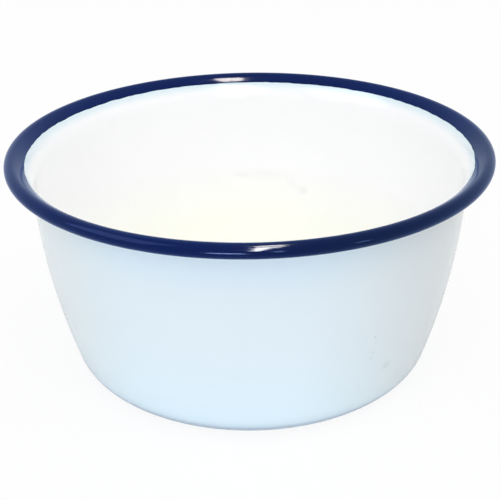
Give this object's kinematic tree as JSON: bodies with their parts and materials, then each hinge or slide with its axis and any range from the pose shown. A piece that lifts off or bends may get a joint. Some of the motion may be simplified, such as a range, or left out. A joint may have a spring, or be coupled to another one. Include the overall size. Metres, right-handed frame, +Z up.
{
  "type": "pudding mould",
  "caption": "Round enamelled steel pudding basin with a flat base, a bulging tapered wall, a flared lip and a dark rolled rim, open at the top.",
  "frame": {"origin": "centre of the flat base, on the surface it stands on", "axes": "+Z up along the axis that the basin is turned about; X and Y are alike"},
  "size_m": [0.16, 0.16, 0.075],
  "materials": {
    "enamel": "glossy vitreous enamel, cool white with a navy rolled rim"
  },
  "bodies": {
    "root": {"basin": "enamel"}
  },
  "joints": []
}
